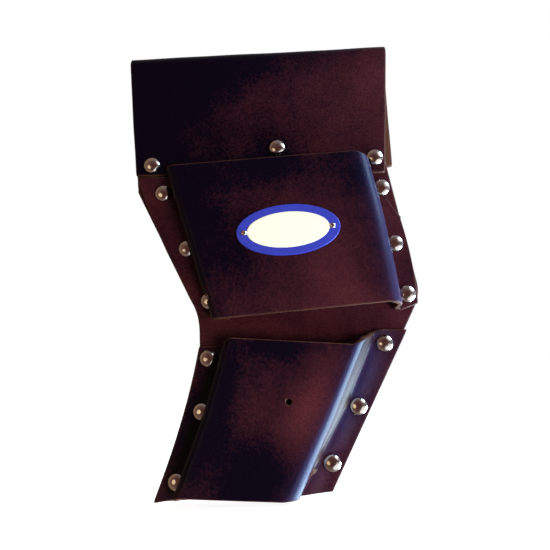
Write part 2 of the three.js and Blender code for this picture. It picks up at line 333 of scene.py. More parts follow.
def rivet_centres(*names):
    """The middle of each named rivet, as x and z."""
    middles = []
    for name in names:
        low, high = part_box(name)
        middle = (low + high) / 2
        middles.append((middle.x, middle.z))
    return middles


def nodes_of(start):
    """The names of the rivets that start with a word, without their burrs."""
    return sorted(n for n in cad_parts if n.startswith(start) and not n.endswith("burr"))


def all_rivets():
    """The names of all the rivets, without their burrs."""
    return [*nodes_of("belt_rivet"), *nodes_of("upper_rivet"), *nodes_of("lower_rivet")]


# Building meshes.

def new_object(name, vertices, faces, material, slot, *replaced):
    """A smooth-shaded object that rides on the frame and stands for CAD nodes."""
    mesh = bpy.data.meshes.new(name)
    mesh.from_pydata([tuple(v) for v in vertices], [], faces)
    mesh.update()
    mesh.shade_smooth()
    mesh.materials.append(material)
    made = bpy.data.objects.new(name, mesh)
    bpy.context.scene.collection.objects.link(made)
    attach(made, "root")
    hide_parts(*replaced)
    return made


def normals_of(grid):
    """Unit normals of a grid of points, rows down and columns across."""
    down = np.gradient(grid, axis=0)
    across = np.gradient(grid, axis=1)
    normal = np.cross(down, across)
    return normal / np.linalg.norm(normal, axis=2, keepdims=True)


def ring(x, z, radius, y, steps):
    """Points on a circle round an axis along y."""
    angles = [2 * math.pi * k / steps for k in range(steps)]
    return [(x + radius * math.cos(angle), y, z + radius * math.sin(angle)) for angle in angles]


def band(here, there, steps):
    """Faces between two closed rings of points, each given by its first point's number."""
    afters = [(k + 1) % steps for k in range(steps)]
    return [(here + k, there + k, there + after, here + after) for k, after in enumerate(afters)]


def perimeter(rows, columns):
    """Grid places round the edge, down the left, along the bottom, up and back."""
    left = [(r, 0) for r in range(rows - 1)]
    bottom = [(rows - 1, c) for c in range(columns - 1)]
    right = [(r, columns - 1) for r in range(rows - 1, 0, -1)]
    top = [(0, c) for c in range(columns - 1, 0, -1)]
    return left + bottom + right + top


def outward(grid, row, column):
    """The direction out of the grid's edge, within its surface."""
    rows, columns = grid.shape[:2]
    inner_row = min(max(row, 1), rows - 2)
    inner_column = min(max(column, 1), columns - 2)
    total = np.zeros(3)
    for place in ((inner_row, column), (row, inner_column)):
        step = grid[row, column] - grid[place]
        length = np.linalg.norm(step)
        if length > 0:
            total += step / length
    return total / np.linalg.norm(total)


def paint(mesh, name, values):
    """Stores one value for each point of a mesh, for its material to read."""
    attribute = mesh.attributes.new(name, "FLOAT", "POINT")
    attribute.data.foreach_set("value", np.asarray(values, np.float32))


def spotted(rows, columns, spots):
    """How strongly each point of a grid is marked, from soft oval spots.

    Each spot is its middle, across and down, its two radii, all as shares of the grid, and
    its strength. A spot of negative strength clears what the others marked.
    """
    down, across = np.mgrid[0:1:rows * 1j, 0:1:columns * 1j]
    light = np.ones((rows, columns))
    for middle_across, middle_down, wide, high, strength in spots:
        reach = ((across - middle_across) / wide) ** 2 + ((down - middle_down) / high) ** 2
        light *= 1 - strength * np.exp(-reach)
    return (1 - light).ravel()


def leather_sheet(name, grid, rivets, material, node, **marks):
    """A leather piece of full thickness behind a grid on its grain side, drilled for its rivets.

    Its marks are the spots of painted shade that darken the dye, of a painted blue sheen and of
    painted grey highlights.
    """
    settings = bpy.context.scene.holster_leather
    rows, columns = grid.shape[:2]
    back = grid - normals_of(grid) * LEATHER
    count = rows * columns

    def at(side, r, c):
        """The number of a point of the grain side, 0, or the flesh side, 1."""
        return side * count + r * columns + c

    faces = []
    for r in range(rows - 1):
        for c in range(columns - 1):
            faces.append((at(0, r, c), at(0, r + 1, c), at(0, r + 1, c + 1), at(0, r, c + 1)))
            faces.append((at(1, r, c), at(1, r, c + 1), at(1, r + 1, c + 1), at(1, r + 1, c)))
    places = perimeter(rows, columns)
    steps = settings.edge_steps
    rim_points = []
    rim_values = []
    for r, c in places:
        middle = (grid[r, c] + back[r, c]) / 2
        half = (grid[r, c] - back[r, c]) / 2
        out = outward(grid, r, c) * settings.edge_round
        for k in range(1, steps):
            angle = math.pi * k / steps
            through = math.copysign(abs(math.cos(angle)) ** EDGE_THROUGH, math.cos(angle))
            rim_points.append(middle + half * through + out * math.sin(angle) ** EDGE_OUT)
            rim_values.append(math.sin(angle) ** 2)
    for i in range(len(places)):
        j = (i + 1) % len(places)
        strip = [[at(0, *places[p])] for p in (i, j)]
        for p, column in zip((i, j), strip):
            column += [2 * count + p * (steps - 1) + k for k in range(steps - 1)]
            column.append(at(1, *places[p]))
        here, there = strip
        faces += [(here[k], here[k + 1], there[k + 1], there[k]) for k in range(steps)]
    flat = [*grid.reshape(-1, 3), *back.reshape(-1, 3)]
    made = new_object(name, flat + rim_points, faces, material, "leather", node)
    paint(made.data, "rim", [0.0] * (2 * count) + rim_values)
    paint(made.data, "flesh", [0.0] * count + [1.0] * count + [0.5] * len(rim_points))
    for mark, spots in marks.items():
        grain_side = spotted(rows, columns, spots)
        paint(made.data, mark, [*grain_side, *[0.0] * (count + len(rim_points))])
    drill(made, rivets, bpy.context.scene.holster_hardware.shank_radius + FIT_GAP)
    return made


def waved(grid, rivets, strength=1.0):
    """The grid with slow waves along its normals and a dimple at each rivet."""
    settings = bpy.context.scene.holster_leather
    normals = normals_of(grid)
    moved = grid.copy()
    for r in range(grid.shape[0]):
        for c in range(grid.shape[1]):
            point = Vector(grid[r, c])
            push = noise.noise(point / settings.wave_length) * settings.wave_depth * strength
            for x, z in rivets:
                distance = math.hypot(point.x - x, point.z - z) / settings.dimple_radius
                push -= settings.dimple_depth * math.exp(-distance ** 2)
            moved[r, c] += normals[r, c] * push
    return moved


def slackened(grid, bend, rivets):
    """The grid with its flange standing off the panel along a bend, but not at the rivets."""
    settings = bpy.context.scene.holster_leather
    x, y, z = (grid[..., axis] for axis in range(3))
    apart = (x - bend.across(z)) / settings.slack_reach
    lift = settings.slack_rise * np.exp(-apart ** 2) * (y - y.min()) / (y.max() - y.min())
    for rivet_x, rivet_z in rivets:
        distance = np.hypot(x - rivet_x, z - rivet_z) / settings.dimple_radius
        lift *= 1 - np.exp(-distance ** 2)
    moved = grid.copy()
    moved[..., 1] -= lift
    return moved


def steps_for(length):
    """How many steps of the mesh spacing a length takes."""
    return max(2, round(length / bpy.context.scene.holster_leather.spacing))


def turned(profile, x, z, first=0):
    """Points and faces of a solid turned on an axis along y, with its points counted from first.

    The profile is a list of radius and y that starts and ends on the axis.
    """
    steps = bpy.context.scene.holster_hardware.round_steps
    vertices = [(x, profile[0][1], z)]
    for radius, y in profile[1:-1]:
        vertices += ring(x, z, radius, y, steps)
    vertices.append((x, profile[-1][1], z))
    last = first + len(vertices) - 1
    starts = range(first + 1, last, steps)
    faces = []
    for k in range(steps):
        after = (k + 1) % steps
        faces.append((first, starts[0] + k, starts[0] + after))
        faces.append((last, starts[-1] + after, starts[-1] + k))
    for here, there in zip(starts, starts[1:]):
        faces += band(here, there, steps)
    return vertices, faces


def drill(sheet, centres, radius):
    """Cuts round holes from front to back through a leather piece."""
    depth = CAD_HIGH.y - CAD_LOW.y
    near, far = CAD_LOW.y - depth, CAD_HIGH.y + depth
    profile = [(0, near), (radius, near), (radius, far), (0, far)]
    vertices = []
    faces = []
    for x, z in centres:
        more_vertices, more_faces = turned(profile, x, z, len(vertices))
        vertices += more_vertices
        faces += more_faces
    mesh = bpy.data.meshes.new("cutter")
    mesh.from_pydata(vertices, [], faces)
    cutter = bpy.data.objects.new("cutter", mesh)
    bpy.context.scene.collection.objects.link(cutter)
    cut = sheet.modifiers.new("holes", "BOOLEAN")
    cut.object = cutter
    cut.solver = "EXACT"
    with bpy.context.temp_override(object=sheet, active_object=sheet):
        bpy.ops.object.modifier_apply(modifier=cut.name)
    bpy.data.objects.remove(cutter)


def fray(sheet, centre, radius, worn):
    """Marks the rim of a punched hole as worn."""
    mesh = sheet.data
    places = np.zeros(len(mesh.vertices) * 3)
    mesh.vertices.foreach_get("co", places)
    x, _, z = places.reshape(-1, 3).T
    rim = np.zeros(len(mesh.vertices), np.float32)
    mesh.attributes["rim"].data.foreach_get("value", rim)
    at_hole = np.hypot(x - centre[0], z - centre[1]) < radius + PLANE_TOLERANCE
    rim[at_hole] = worn
    mesh.attributes["rim"].data.foreach_set("value", rim)


# Shader building.

NUMBER, COLOUR = "NodeSocketFloat", "NodeSocketColor"


def add_node(tree, kind, inputs=None, **settings):
    """A shader node whose inputs are set to values or linked to sockets."""
    made = tree.nodes.new("ShaderNode" + kind)
    for key, value in settings.items():
        setattr(made, key, value)
    for key, value in (inputs or {}).items():
        if isinstance(value, bpy.types.NodeSocket):
            tree.links.new(value, made.inputs[key])
        else:
            made.inputs[key].default_value = value
    return made


def painted(tree, name):
    """A value that was painted on the piece's points."""
    return add_node(tree, "Attribute", attribute_name=name).outputs["Fac"]


def maths(tree, operation, a, b=0.0, clamp=False):
    """The result of a Math node."""
    made = add_node(tree, "Math", {0: a, 1: b}, operation=operation, use_clamp=clamp)
    return made.outputs[0]


def mix_colour(tree, factor, a, b):
    """The result of a colour Mix node."""
    made = add_node(tree, "Mix", {0: factor, 6: a, 7: b}, data_type="RGBA")
    return made.outputs[2]


def mapped(tree, value, low, high, to_low=0.0, to_high=1.0):
    """A value mapped from one range to another and held there."""
    inputs = {"Value": value, 1: low, 2: high, 3: to_low, 4: to_high}
    return add_node(tree, "MapRange", inputs, clamp=True).outputs[0]


def coordinates(tree):
    """Places on the piece, in metres in the holster's own frame."""
    return add_node(tree, "TexCoord").outputs["Object"]


def noise_at(tree, place, scale, detail, **more):
    """Soft noise at a place, as its node's outputs."""
    return add_node(tree, "TexNoise", {"Vector": place, "Scale": scale, "Detail": detail,
                                       **more}).outputs


def new_group(name, inputs, outputs):
    """A shader node group with named sockets, and its two end nodes."""
    group = bpy.data.node_groups.new(name, "ShaderNodeTree")
    for socket, kind, default in inputs:
        made = group.interface.new_socket(socket, in_out="INPUT", socket_type=kind)
        made.default_value = default
    for socket, kind in outputs:
        group.interface.new_socket(socket, in_out="OUTPUT", socket_type=kind)
    source = group.nodes.new("NodeGroupInput")
    result = group.nodes.new("NodeGroupOutput")
    return group, source.outputs, result.inputs


def place_group(tree, group, inputs):
    """A copy of a node group in a material, with its own values."""
    return add_node(tree, "Group", inputs, node_tree=group).outputs


def grain_group():
    """Pebbled leather grain: its height, and a mask of the creases between pebbles."""
    group, given, result = new_group(
        "Leather Grain",
        [("Pebbles", NUMBER, 900.0), ("Roughness", NUMBER, 0.5)],
        [("Height", NUMBER), ("Creases", NUMBER)],
    )
    place = coordinates(group)
    warp = noise_at(group, place, 450.0, 2.0)["Color"]
    shift = add_node(group, "VectorMath", {0: warp, 1: (0.5, 0.5, 0.5)}, operation="SUBTRACT")
    small = add_node(group, "VectorMath", {0: shift.outputs[0], "Scale": 1.2 * MM},
                     operation="SCALE")
    bent = add_node(group, "VectorMath", {0: place, 1: small.outputs[0]}, operation="ADD")
    cells = add_node(group, "TexVoronoi",
                     {"Vector": bent.outputs[0], "Scale": given["Pebbles"]},
                     feature="DISTANCE_TO_EDGE")
    pebbles = mapped(group, cells.outputs["Distance"], 0.0, 0.22)
    fine = noise_at(group, place, 2600.0, 3.0, Roughness=given["Roughness"])["Fac"]
    rough = maths(group, "MULTIPLY", fine, 0.5)
    group.links.new(maths(group, "ADD", pebbles, rough), result["Height"])
    group.links.new(maths(group, "SUBTRACT", 1.0, pebbles), result["Creases"])
    return group


def mottle_group():
    """Two dye colours that run into each other in clouds, with fine specks."""
    group, given, result = new_group(
        "Dye Mottle",
        [("Dark", COLOUR, (0, 0, 0, 1)), ("Light", COLOUR, (1, 1, 1, 1)),
         ("Clouds", NUMBER, 22.0), ("Specks", NUMBER, 700.0), ("Bias", NUMBER, 0.0)],
        [("Color", COLOUR), ("Cloud", NUMBER)],
    )
    place = coordinates(group)
    cloud = noise_at(group, place, given["Clouds"], 4.0, Roughness=0.55)["Fac"]
    speck = noise_at(group, place, given["Specks"], 2.0)["Fac"]
    specks = maths(group, "MULTIPLY", maths(group, "SUBTRACT", speck, 0.5), 0.5)
    both = maths(group, "ADD", cloud, specks)
    biased = maths(group, "ADD", both, given["Bias"])
    share = mapped(group, biased, 0.12, 1.0)
    group.links.new(mix_colour(group, share, given["Dark"], given["Light"]), result["Color"])
    group.links.new(share, result["Cloud"])
    return group


def edge_wear_group():
    """Wears a colour through to another along a piece's painted rim."""
    group, given, result = new_group(
        "Edge Wear",
        [("Color", COLOUR, (0, 0, 0, 1)), ("Worn", COLOUR, (1, 1, 1, 1)),
         ("Amount", NUMBER, 0.5)],
        [("Color", COLOUR), ("Mask", NUMBER)],
    )
    patch = noise_at(group, coordinates(group), 90.0, 5.0)["Fac"]
    patches = mapped(group, patch, 0.35, 0.65, 0.25, 1.0)
    rubbed = maths(group, "MULTIPLY", painted(group, "rim"), patches)
    mask = maths(group, "MULTIPLY", rubbed, given["Amount"], True)
    group.links.new(mix_colour(group, mask, given["Color"], given["Worn"]), result["Color"])
    group.links.new(mask, result["Mask"])
    return group


def scuff_group():
    """Long fine rub marks that run down the holster, as a mask."""
    group, given, result = new_group(
        "Scuffs", [("Length", NUMBER, 30.0), ("Amount", NUMBER, 0.5)], [("Mask", NUMBER)],
    )
    stretch = add_node(group, "Mapping", {"Vector": coordinates(group),
                                          "Scale": (14.0, 14.0, 1.0)})
    marks = noise_at(group, stretch.outputs[0], given["Length"], 6.0, Roughness=0.7)["Fac"]
    mask = mapped(group, marks, 0.52, 0.70)
    group.links.new(maths(group, "MULTIPLY", mask, given["Amount"]), result["Mask"])
    return group


GROUPS = {}


def group_of(build):
    """The node group that a function builds, built once."""
    if build.__name__ not in GROUPS:
        GROUPS[build.__name__] = build()
    return GROUPS[build.__name__]


def new_material(name):
    """An empty node material, its tree and its surface socket."""
    material = bpy.data.materials.new(name)
    material.use_nodes = True
    tree = material.node_tree
    tree.nodes.clear()
    output = add_node(tree, "OutputMaterial")
    return material, tree, output.inputs["Surface"]


def with_alpha(colour):
    """A colour setting as a shader socket takes it."""
    return (*colour, 1.0)


def leather_material(name, bias=0.0, edge_wear=0.35, scuffs=0.3):
    """Dyed, waxy-coated leather: pebbled grain outside, rough flesh inside, rubbed edges; painted
    shade, sheen and highlights.
    """
    settings = bpy.context.scene.holster_leather
    material, tree, surface = new_material(name)
    grain = place_group(tree, group_of(grain_group), {"Pebbles": 1000.0, "Roughness": 0.6})
    dye = place_group(tree, group_of(mottle_group), {
        "Dark": with_alpha(settings.dark), "Light": with_alpha(settings.warm),
        # Painted shade: where a piece marks it, the dye is pushed towards its dark colour.
        "Bias": maths(tree, "SUBTRACT", bias, maths(tree, "MULTIPLY", painted(tree, "oiled"), 0.5)),
    })
    creased = mix_colour(tree, maths(tree, "MULTIPLY", grain["Creases"], 0.5),
                         dye["Color"], with_alpha(settings.dark))
    marks = place_group(tree, group_of(scuff_group), {"Length": 30.0, "Amount": scuffs})
    # A painted blue sheen where a piece marks it, broken up where the scuffs are.
    rubbed = mapped(tree, marks["Mask"], 0.0, 0.4, 0.75, 1.0)
    inked = maths(tree, "MULTIPLY", painted(tree, "inked"), rubbed, True)
    blue = mix_colour(tree, inked, creased, with_alpha(settings.sheen_colour))
    # A painted grey highlight where a piece marks it.
    bloomed = painted(tree, "bloomed")
    highlighted = mix_colour(tree, bloomed, blue, with_alpha(settings.highlight_colour))
    flesh = painted(tree, "flesh")
    fibres = maths(tree, "MULTIPLY", dye["Cloud"], 0.45)
    nap = mix_colour(tree, fibres, with_alpha(settings.flesh), with_alpha(settings.raw))
    sided = mix_colour(tree, flesh, highlighted, nap)
    worn = place_group(tree, group_of(edge_wear_group), {
        "Color": sided, "Worn": with_alpha(settings.raw), "Amount": edge_wear,
    })
    smooth = maths(tree, "ADD", 0.40, maths(tree, "MULTIPLY", flesh, 0.35))
    rough = maths(tree, "ADD", smooth, maths(tree, "MULTIPLY", marks["Mask"], 0.18), True)
    bump = add_node(tree, "Bump", {"Height": grain["Height"], "Strength": 0.55,
                                   "Distance": 0.11 * MM})
    # The coat is left off the flesh side and where the highlight is painted.
    dull = maths(tree, "ADD", flesh, bloomed, True)
    shader = add_node(tree, "BsdfPrincipled", {
        "Base Color": worn["Color"],
        "Roughness": rough,
        "Normal": bump.outputs[0],
        "Specular IOR Level": 0.05,
        "Coat Weight": maths(tree, "MULTIPLY", maths(tree, "SUBTRACT", 1.0, dull), 0.20),
        "Coat Roughness": 0.28,
    })
    tree.links.new(shader.outputs[0], surface)
    return material


TARNISH = (0.36, 0.27, 0.20)  # colour of dulled plating


def nickel_material(name, bias=0.3):
    """Plated metal with fine scratches and a little tarnish in clouds."""
    settings = bpy.context.scene.holster_hardware
    material, tree, surface = new_material(name)
    tarnish = place_group(tree, group_of(mottle_group), {
        "Dark": with_alpha(TARNISH), "Light": with_alpha(settings.nickel),
        "Clouds": 260.0, "Specks": 3000.0, "Bias": bias,
    })
    marks = place_group(tree, group_of(scuff_group), {"Length": 260.0, "Amount": 0.5})
    rough = mapped(tree, marks["Mask"], 0.0, 0.5, 0.10, 0.22)
    dents = noise_at(tree, coordinates(tree), 300.0, 1.0)["Fac"]
    bump = add_node(tree, "Bump", {"Height": dents, "Strength": 0.7, "Distance": 0.3 * MM})
    shader = add_node(tree, "BsdfPrincipled", {
        "Base Color": tarnish["Color"],
        "Metallic": 1.0,
        "Roughness": rough,
        "Normal": bump.outputs[0],
    })
    tree.links.new(shader.outputs[0], surface)
    return material


def paint_material(name, colour, shade):
    """Glossy paint on metal with faint rub marks, darkened in places to a share of its colour."""
    material, tree, surface = new_material(name)
    coat = place_group(tree, group_of(mottle_group), {
        "Dark": (*[c * shade for c in colour], 1.0), "Light": with_alpha(colour),
        "Clouds": 120.0, "Specks": 1500.0, "Bias": 0.1,
    })
    marks = place_group(tree, group_of(scuff_group), {"Length": 80.0, "Amount": 0.6})
    rough = mapped(tree, marks["Mask"], 0.0, 0.6, 0.28, 0.45)
    shader = add_node(tree, "BsdfPrincipled", {"Base Color": coat["Color"], "Roughness": rough})
    tree.links.new(shader.outputs[0], surface)
    return material


# The leather pieces.

def flat_run(first, last, y, places, steps):
    """Points of a flat stretch between two points of x and z, at some of its steps."""
    shares = [k / steps for k in places]
    return [(first[0] * (1 - u) + last[0] * u, y, first[1] * (1 - u) + last[1] * u) for u in shares]


def wall_run(points, first_z, last_z):
    """A wall's points of x and y, with heights that pass evenly from one end's to the other's."""
    shares = [k / (len(points) - 1) for k in range(len(points))]
    return [(x, y, first_z * (1 - u) + last_z * u) for (x, y), u in zip(points, shares)]


def panel_grid():
    """Points on the front of the back panel."""
    settings = bpy.context.scene.holster_leather
    left, right = panel_edges()
    inset = settings.edge_round
    height = PANEL_HIGH.z - PANEL_LOW.z
    rows = steps_for(height)
    columns = steps_for(PANEL_HIGH.x - PANEL_LOW.x)
    grid = []
    for r in range(rows + 1):
        share = inset / height + (1 - 2 * inset / height) * r / rows
        (x_left, z_left), (x_right, z_right) = left.at(share), right.at(share)
        grid.append(flat_run((x_left + inset, z_left), (x_right - inset, z_right), PANEL_LOW.y,
                             range(columns + 1), columns))
    return np.array(grid)


def loop_path():
    """The belt loop's outer radius, the height its fold starts at, and its depth at a height."""
    settings = bpy.context.scene.holster_leather
    low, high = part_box("belt_loop")
    radius = (high.y - low.y) / 2
    fold = high.z - radius
    pressed = LEATHER + FIT_GAP + LEATHER / 2
    flare_foot = PANEL_HIGH.z - settings.tunnel_flare / 3

    def depth(z):
        """How far a leg's outer side stands from the middle of the panel."""
        rise = min(max((z - flare_foot) / settings.tunnel_flare, 0), 1)
        return pressed + (radius - pressed) * rise * rise * (3 - 2 * rise)

    return radius, fold, depth


def loop_grid():
    """Points on the outer side of the belt loop, from the front leg's foot over to the rear."""
    settings = bpy.context.scene.holster_leather
    radius, fold, depth = loop_path()
    inset = settings.edge_round
    front, rear = leg_edges(-1), leg_edges(1)
    columns = steps_for(2 * front[1].across(fold))
    shares = np.linspace(0, 1, columns + 1)
    rows = []

    def leg_row(edges, side, share):
        """A row across a leg; share 0 is at the fold and 1 at the foot."""
        row = []
        for u in shares:
            foot = edges[0].bottom * (1 - u) + edges[1].bottom * u
            z = fold + (foot + inset - fold) * share
            left, right = edges[0].across(z) + inset, edges[1].across(z) - inset
            row.append((left * (1 - u) + right * u, side * depth(z), z))
        return row

    foot_steps = steps_for(fold - min(edge.bottom for edge in rear))
    for share in np.linspace(0, 1, foot_steps + 1):
        rows.append(leg_row(rear, 1, share))
    rows.reverse()
    fold_steps = steps_for(math.pi * radius) * 2
    for k in range(1, fold_steps):
        angle = math.pi * k / fold_steps
        left, right = front[0].across(fold) + inset, front[1].across(fold) - inset
        y, z = radius * math.cos(angle), fold + radius * math.sin(angle)
        rows.append([(left * (1 - u) + right * u, y, z) for u in shares])
    for share in np.linspace(0, 1, foot_steps + 1):
        rows.append(leg_row(front, -1, share))
    return np.array(rows)


def wall_section(flange_x, face_x, flange_y, face_y, side, small, large):
    """The bends and wall of a channel's side as x and y, from the flange to the face."""
    # Seen from the left side, x grows towards the face. The wall is the inner tangent of
    # the circles of the two bends.
    foot = Vector((flange_x * side, flange_y - small))
    brow = Vector((face_x * side, face_y + large))
    line = brow - foot
    slope = math.atan2(-line.y, line.x)
    turn = slope + math.asin(min(1.0, (small + large) / line.length))
    points = []
    for k in range(BEND_STEPS + 1):
        angle = turn * k / BEND_STEPS
        points.append(foot + Vector((math.sin(angle), math.cos(angle))) * small)
    start = points[-1]
    end = brow + Vector((-math.sin(turn), -math.cos(turn))) * large
    points += [start.lerp(end, k / WALL_STEPS) for k in range(1, WALL_STEPS)]
    for k in range(BEND_STEPS + 1):
        angle = turn * (1 - k / BEND_STEPS)
        points.append(brow + Vector((-math.sin(angle), -math.cos(angle))) * large)
    return [(p.x * side, p.y) for p in points]


def channel_grid(node, right_flange_bend):
    """Points on the outer side of a channel, from its left flange over its face to its right."""
    settings = bpy.context.scene.holster_leather
    low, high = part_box(node)
    flange_y, face_y = high.y - LEATHER, low.y
    edges = channel_edges(node)
    inset = settings.edge_round
    length = high.z - low.z
    rows = steps_for(length)
    left_steps, face_steps, right_steps = (
        steps_for(edges[i + 1].at(0.5)[0] - edges[i].at(0.5)[0]) for i in (0, 2, 4)
    )
    grid = []
    for r in range(rows + 1):
        share = inset / length + (1 - 2 * inset / length) * r / rows
        ends = [edge.at(share) for edge in edges]
        ends[0] = (ends[0][0] + inset, ends[0][1])
        ends[5] = (ends[5][0] - inset, ends[5][1])
        left_wall = wall_section(ends[1][0], ends[2][0], flange_y, face_y, 1,
                                 settings.flange_bend, settings.left_bend)
        right_wall = wall_section(ends[4][0], ends[3][0], flange_y, face_y, -1,
                                  right_flange_bend, settings.right_bend)
        grid.append([
            *flat_run(ends[0], ends[1], flange_y, range(left_steps), left_steps),
            *wall_run(left_wall, ends[1][1], ends[2][1]),
            *flat_run(ends[2], ends[3], face_y, range(1, face_steps), face_steps),
            *wall_run(right_wall[::-1], ends[3][1], ends[4][1]),
            *flat_run(ends[4], ends[5], flange_y, range(1, right_steps + 1), right_steps),
        ])
    return np.array(grid)


class HOLSTER_OT_back_panel(bpy.types.Operator):
    """Cut the cranked back panel"""

    bl_idname = "holster.back_panel"
    bl_label = "Back Panel"

    def execute(self, context):
        rivets = rivet_centres(*all_rivets())
        grid = waved(panel_grid(), rivets, PANEL_WAVES)
        material = leather_material("Panel Leather", bias=0.02)
        # Painted shade down the panel's left edge.
        oiled = [(0.02, 0.3, 0.12, 0.12, 0.8), (0.05, 0.85, 0.1, 0.15, 0.7)]
        leather_sheet("panel_leather", grid, rivets, material, "back_panel", oiled=oiled)
        return {"FINISHED"}


class HOLSTER_OT_belt_loop(bpy.types.Operator):
    """Fold the belt loop over the top of the panel"""

    bl_idname = "holster.belt_loop"
    bl_label = "Belt Loop"

    def execute(self, context):
        rivets = rivet_centres(*nodes_of("belt_rivet"))
        grid = waved(loop_grid(), rivets)
        material = leather_material("Loop Leather")
        # Painted shade over the loop's left side, along its fold and at its front foot.
        oiled = [(0.0, 0.8, 0.63, 0.6, 0.97), (0.40, 0.55, 0.45, 0.10, 0.9),
                 (0.45, 1.0, 0.28, 0.14, 0.6)]
        leather_sheet("loop_leather", grid, rivets, material, "belt_loop", oiled=oiled)
        return {"FINISHED"}


class HOLSTER_OT_upper_pocket(bpy.types.Operator):
    """Bend the upper channel"""

    bl_idname = "holster.upper_pocket"
    bl_label = "Upper Pocket"

    def execute(self, context):
        rivets = rivet_centres(*nodes_of("upper_rivet"))
        bend = context.scene.holster_leather.flange_bend
        grid = waved(channel_grid("upper_pocket", bend), rivets, UPPER_WAVES)
        material = leather_material("Upper Pocket Leather")
        # Painted shade over the face's left and top and beside its right bend; the negative spot
        # paints its lower right lighter.
        oiled = [(0.32, 0.25, 0.12, 0.6, 0.97), (0.48, 0.0, 0.25, 0.25, 0.75),
                 (0.25, 0.8, 0.09, 0.7, 0.8), (0.62, 0.9, 0.10, 0.3, -0.3),
                 (0.74, 0.1, 0.06, 0.9, 0.6), (0.69, 0.3, 0.05, 0.6, 0.5)]
        # A painted blue sheen along the right bend.
        inked = [(0.75, 0.5, 0.035, 1.2, 0.85)]
        leather_sheet("upper_pocket_leather", grid, rivets, material, "upper_pocket",
                      oiled=oiled, inked=inked)
        return {"FINISHED"}


class HOLSTER_OT_lower_pocket(bpy.types.Operator):
    """Bend the lower channel and punch its hole"""

    bl_idname = "holster.lower_pocket"
    bl_label = "Lower Pocket"

    def execute(self, context):
        rivets = rivet_centres(*nodes_of("lower_rivet"))
        bend = context.scene.holster_leather.slack_bend
        grid = channel_grid("lower_pocket", bend)
        grid = waved(slackened(grid, channel_edges("lower_pocket")[4], rivets), rivets)
        material = leather_material("Lower Pocket Leather", -0.04, edge_wear=0.6, scuffs=0.6)
        # Painted shade along the left bend and flange, at the bottom right and across the top; the
        # negative spot paints the face lighter by the right bend.
        oiled = [(0.33, 0.5, 0.11, 1.0, 0.9), (0.08, 0.5, 0.12, 0.8, 0.7),
                 (0.56, 1.0, 0.14, 0.32, 0.97), (0.50, 0.0, 0.3, 0.12, 0.5),
                 (0.61, 0.45, 0.05, 0.35, -0.9)]
        # A painted blue sheen beside the right bend and on the right flange.
        inked = [(0.695, 0.5, 0.04, 1.2, 0.97), (0.925, 0.4, 0.05, 0.5, 0.95)]
        # A painted grey highlight on the right wall and painted glints beside two rivets.
        bloomed = [(0.81, 0.6, 0.045, 0.5, 1.0), (0.875, 0.46, 0.025, 0.03, 0.9),
                   (0.875, 0.8, 0.025, 0.03, 0.9)]
        pocket = leather_sheet("lower_pocket_leather", grid, rivets, material, "lower_pocket",
                               oiled=oiled, inked=inked, bloomed=bloomed)
        hole, radius = face_hole("lower_pocket")
        drill(pocket, [hole], radius)
        fray(pocket, hole, radius, HOLE_WEAR)
        return {"FINISHED"}


# The metal pieces.

DOME_STEPS = 14  # facets from a cap's top to its edge
CAP_SKIRT = 0.2  # share of a cap's height that is straight, below its dome
CAP_SINK = 0.25 * MM  # how far a cap's rim beds into the leather
RIM_TUCK = 0.97  # a turned rim's radius at its face, as a share of its widest
RIM_ROUND = 0.1 * MM  # how far a turned rim is rounded over
TAIL_HEIGHT = 0.9 * MM
# A peened tail: its radius as a share of the widest, and the distance from its end.
TAIL_OUTLINE = [
    (0.94, TAIL_HEIGHT),
    (1.0, 0.75 * MM),
    (0.96, 0.5 * MM),
    (0.85, 0.2 * MM),
    (0.6, 0.03 * MM),
    (0.3, 0.0),
    (0.0, 0.0),
]
BURR_SINK = 0.6 * MM  # how deep a burr is set in the leather
BURR_CORNER = 0.15 * MM  # how far its outer corner is rounded
BURR_FACE = 0.96  # share of a burr's radius that is its flat face


def dome(radius, top, rise, steps):
    """A domed top as radius and y, from its middle out to its edge."""
    angles = [math.pi / 2 * k / steps for k in range(steps + 1)]
    return [(radius * math.sin(angle), top + rise * (1 - math.cos(angle))) for angle in angles]


def rivet_profile(low, high, seat, settings):
    """A domed cap that seats on the leather, a shank, and a peened tail."""
    radius = (high.x - low.x) / 2
    return [
        *dome(radius, low.y, settings.cap_height * (1 - CAP_SKIRT), DOME_STEPS),
        (radius, seat - RIM_ROUND),
        (radius * RIM_TUCK, seat),
        (settings.shank_radius, seat),
        (settings.shank_radius, high.y - TAIL_HEIGHT),
        *[(settings.tail_radius * share, high.y - up) for share, up in TAIL_OUTLINE],
    ]


def burr_profile(low, high, shank_radius):
    """A washer with rounded edges under a rivet's tail."""
    radius = (high.x - low.x) / 2
    near = low.y - BURR_SINK
    return [
        (0.0, near),
        (radius * RIM_TUCK, near),
        (radius, near + RIM_ROUND),
        (radius, high.y - BURR_CORNER),
        (radius * BURR_FACE, high.y),
        (shank_radius, high.y + RIM_ROUND),
        (0.0, high.y + RIM_ROUND),
    ]


class HOLSTER_OT_rivets(bpy.types.Operator):
    """Set every rivet and its burr"""

    bl_idname = "holster.rivets"
    bl_label = "Rivets"

    def execute(self, context):
        settings = context.scene.holster_hardware
        nickel = nickel_material("Nickel")
        seat = POCKET_HIGH.y - LEATHER + CAP_SINK
        for rivet in all_rivets():
            (x, z), = rivet_centres(rivet)
            profile = rivet_profile(*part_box(rivet), seat, settings)
            new_object(rivet + "_cap", *turned(profile, x, z), nickel, "nickel", rivet)
            burr = rivet + "_burr"
            profile = burr_profile(*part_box(burr), settings.shank_radius)
            new_object(burr + "_washer", *turned(profile, x, z), nickel, "nickel", burr)
        return {"FINISHED"}


# The label.

